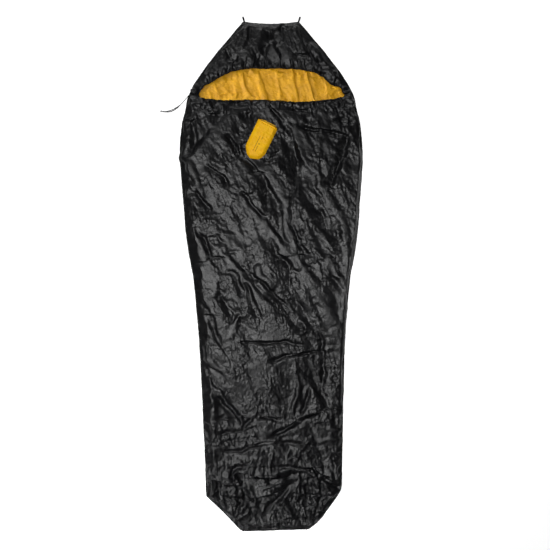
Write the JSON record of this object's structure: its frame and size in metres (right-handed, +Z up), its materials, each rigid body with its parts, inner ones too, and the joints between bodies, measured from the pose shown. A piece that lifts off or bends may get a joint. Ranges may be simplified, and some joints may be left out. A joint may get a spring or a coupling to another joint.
{
  "type": "bivy sack",
  "caption": "Hooded mummy-shaped bivy sack laid flat and empty, with a drawcord mouth, tie-out loops at the hood, a tapered foot and a small stuff sack on its chest.",
  "frame": {"origin": "on the ground, under the middle of the sack's length, on its centre line", "axes": "+Y from the foot to the head, +Z up from the ground, +X across the sack to the right as seen from above with the head up"},
  "size_m": [0.9155, 2.3119, 0.0366],
  "materials": {
    "black_shell": "crinkled satin coating",
    "yellow_lining": "crinkled satin coating",
    "yellow_sack": "satin coating",
    "seam_tape": "matte",
    "hem_cloth": "satin",
    "cord": "braided matte",
    "lock_plastic": "fine matte",
    "spring_steel": "bright wire"
  },
  "bodies": {
    "main": {"floor_sheet": "black_shell", "floor_liner": "yellow_lining", "left_side_seam": "seam_tape", "right_side_seam": "seam_tape", "top_sheet": "black_shell", "mouth_hem_lower": "hem_cloth", "drawcord_lower": "cord", "drawcord_tail": "cord", "drawcord_knot": "cord", "cord_exit_patch": "hem_cloth"},
    "hood": {"hood_floor": "black_shell", "hood_liner": "yellow_lining", "left_hood_seam": "seam_tape", "right_hood_seam": "seam_tape", "head_seam": "seam_tape", "hood_panel": "black_shell", "mouth_hem_upper": "hem_cloth", "drawcord_upper": "cord", "left_loop_patch": "hem_cloth", "right_loop_patch": "hem_cloth"},
    "foot": {"foot_floor": "black_shell", "foot_seam": "seam_tape", "foot_panel": "black_shell"},
    "left_loop": {"left_tie_loop": "cord"},
    "right_loop": {"right_tie_loop": "cord"},
    "mouth_lock": {"mouth_lock_barrel": "lock_plastic", "mouth_lock_spring": "spring_steel"},
    "mouth_lock_plunger": {"mouth_lock_button": "lock_plastic"},
    "stuff_sack": {"sack_back": "yellow_sack", "sack_front": "yellow_sack", "sack_hem": "yellow_sack", "sack_cord": "cord", "sack_cord_knot": "cord"},
    "sack_lock": {"sack_lock_barrel": "lock_plastic", "sack_lock_spring": "spring_steel"},
    "sack_lock_plunger": {"sack_lock_button": "lock_plastic"}
  },
  "joints": [
    {"name": "hood_raise", "type": "hinge", "parent": "main", "child": "hood", "pos_m": [0, 0.848, 0.01], "axis": [1, 0, 0], "range_deg": [0, 75]},
    {"name": "foot_fold", "type": "hinge", "parent": "main", "child": "foot", "pos_m": [0, -0.937, 0.016], "axis": [-1, 0, 0], "range_deg": [0, 90]},
    {"name": "left_loop_swing", "type": "hinge", "parent": "hood", "child": "left_loop", "pos_m": [-0.122, 1.1455, 0.0026], "axis": [1, 0, 0], "range_deg": [0, 100]},
    {"name": "right_loop_swing", "type": "hinge", "parent": "hood", "child": "right_loop", "pos_m": [0.122, 1.1455, 0.0026], "axis": [1, 0, 0], "range_deg": [0, 100]},
    {"name": "mouth_lock_slide", "type": "slide", "parent": "main", "child": "mouth_lock", "axis": [-0.6561, -0.7547, 0], "range_m": [0, 0.06]},
    {"name": "mouth_lock_press", "type": "slide", "parent": "mouth_lock", "child": "mouth_lock_plunger", "axis": [-0.7547, 0.6561, 0], "range_m": [0, 0.003], "deforming": ["mouth_lock_spring"]},
    {"name": "sack_lift", "type": "slide", "parent": "main", "child": "stuff_sack", "axis": [0, 0, 1], "range_m": [0, 0.3]},
    {"name": "sack_lock_slide", "type": "slide", "parent": "stuff_sack", "child": "sack_lock", "axis": [-0.4384, -0.8988, 0], "range_m": [0, 0.015]},
    {"name": "sack_lock_press", "type": "slide", "parent": "sack_lock", "child": "sack_lock_plunger", "axis": [-0.8988, 0.4384, 0], "range_m": [0, 0.003], "deforming": ["sack_lock_spring"]}
  ]
}
